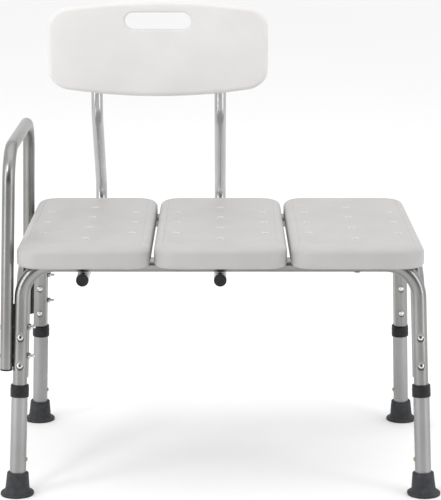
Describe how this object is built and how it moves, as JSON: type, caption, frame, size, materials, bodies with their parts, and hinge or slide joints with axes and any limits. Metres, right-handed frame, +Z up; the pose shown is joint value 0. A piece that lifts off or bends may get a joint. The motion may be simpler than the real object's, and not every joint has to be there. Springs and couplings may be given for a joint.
{
  "type": "bath transfer bench",
  "caption": "Bath transfer bench with a slatted three-panel seat, offset backrest with handle slot, side arm rail and splayed telescoping legs on wide rubber feet.",
  "frame": {"origin": "on the floor, under the middle of the bench's bounding box", "axes": "+Z up, front of the bench toward -Y, the arm rail on the -X side"},
  "size_m": [0.7792, 0.6564, 0.83],
  "materials": {
    "aluminium_tube": "satin anodised",
    "white_plastic": "satin, lightly textured",
    "black_plastic": "moulded, dull",
    "grey_rubber": "dull",
    "steel": "bright zinc plated",
    "brass": "bright"
  },
  "bodies": {
    "bench": {"frame_bolt_front_left_upper": "steel", "frame_bolt_front_left_lower": "steel", "frame_bolt_front_right_upper": "steel", "frame_bolt_front_right_lower": "steel", "frame_bolt_rear_left_upper": "steel", "frame_bolt_rear_left_lower": "steel", "frame_bolt_rear_right_upper": "steel", "frame_bolt_rear_right_lower": "steel", "arm_bolt_front_upper": "steel", "arm_nut_front_upper": "steel", "arm_bolt_front_lower": "steel", "arm_nut_front_lower": "steel", "arm_plug_front": "black_plastic", "arm_pad_front": "black_plastic", "front_frame_tube": "aluminium_tube", "arm_bolt_rear_upper": "steel", "arm_nut_rear_upper": "steel", "arm_bolt_rear_lower": "steel", "arm_nut_rear_lower": "steel", "arm_plug_rear": "black_plastic", "arm_pad_rear": "black_plastic", "rear_frame_tube": "aluminium_tube", "left_side_tube": "aluminium_tube", "back_tube_left": "aluminium_tube", "back_tube_front_plug_left": "black_plastic", "rest_screw_left_upper": "steel", "rest_screw_left_lower": "steel", "back_bolt_left_front": "steel", "back_bolt_left_rear": "steel", "right_side_tube": "aluminium_tube", "back_tube_right": "aluminium_tube", "back_tube_front_plug_right": "black_plastic", "rest_screw_right_upper": "steel", "rest_screw_right_lower": "steel", "back_bolt_right_front": "steel", "back_bolt_right_rear": "steel", "seat_bolt_front": "steel", "seat_bolt_rear": "steel", "seat_panel_left": "white_plastic", "seat_panel_middle": "white_plastic", "seat_panel_right": "white_plastic", "backrest_panel": "white_plastic", "arm_tube": "aluminium_tube"},
    "leg_front_left": {"leg_extension_front_left": "aluminium_tube", "leg_collar_front_left": "black_plastic", "rubber_foot_front_left": "grey_rubber"},
    "button_front_left": {"spring_button_front_left": "brass"},
    "leg_front_right": {"leg_extension_front_right": "aluminium_tube", "leg_collar_front_right": "black_plastic", "rubber_foot_front_right": "grey_rubber"},
    "button_front_right": {"spring_button_front_right": "brass"},
    "leg_rear_left": {"leg_extension_rear_left": "aluminium_tube", "leg_collar_rear_left": "black_plastic", "rubber_foot_rear_left": "grey_rubber"},
    "button_rear_left": {"spring_button_rear_left": "brass"},
    "leg_rear_right": {"leg_extension_rear_right": "aluminium_tube", "leg_collar_rear_right": "black_plastic", "rubber_foot_rear_right": "grey_rubber"},
    "button_rear_right": {"spring_button_rear_right": "brass"}
  },
  "joints": [
    {"name": "leg_slide_front_left", "type": "slide", "parent": "bench", "child": "leg_front_left", "axis": [-0.0352, -0.07, -0.9969], "range_m": [0, 0.1016], "deforming": ["spring_button_front_left"]},
    {"name": "button_press_front_left", "type": "slide", "parent": "bench", "child": "button_front_left", "axis": [-0.9994, 0.0025, 0.0351], "range_m": [0, 0.0045], "stiffness_N_per_m": 800, "springref_m": -0.002},
    {"name": "leg_slide_front_right", "type": "slide", "parent": "bench", "child": "leg_front_right", "axis": [0.0352, -0.07, -0.9969], "range_m": [0, 0.1016], "deforming": ["spring_button_front_right"]},
    {"name": "button_press_front_right", "type": "slide", "parent": "bench", "child": "button_front_right", "axis": [0.9994, 0.0025, 0.0351], "range_m": [0, 0.0045], "stiffness_N_per_m": 800, "springref_m": -0.002},
    {"name": "leg_slide_rear_left", "type": "slide", "parent": "bench", "child": "leg_rear_left", "axis": [-0.0352, 0.07, -0.9969], "range_m": [0, 0.1016], "deforming": ["spring_button_rear_left"]},
    {"name": "button_press_rear_left", "type": "slide", "parent": "bench", "child": "button_rear_left", "axis": [-0.9994, -0.0025, 0.0351], "range_m": [0, 0.0045], "stiffness_N_per_m": 800, "springref_m": -0.002},
    {"name": "leg_slide_rear_right", "type": "slide", "parent": "bench", "child": "leg_rear_right", "axis": [0.0352, 0.07, -0.9969], "range_m": [0, 0.1016], "deforming": ["spring_button_rear_right"]},
    {"name": "button_press_rear_right", "type": "slide", "parent": "bench", "child": "button_rear_right", "axis": [0.9994, -0.0025, 0.0351], "range_m": [0, 0.0045], "stiffness_N_per_m": 800, "springref_m": -0.002}
  ]
}
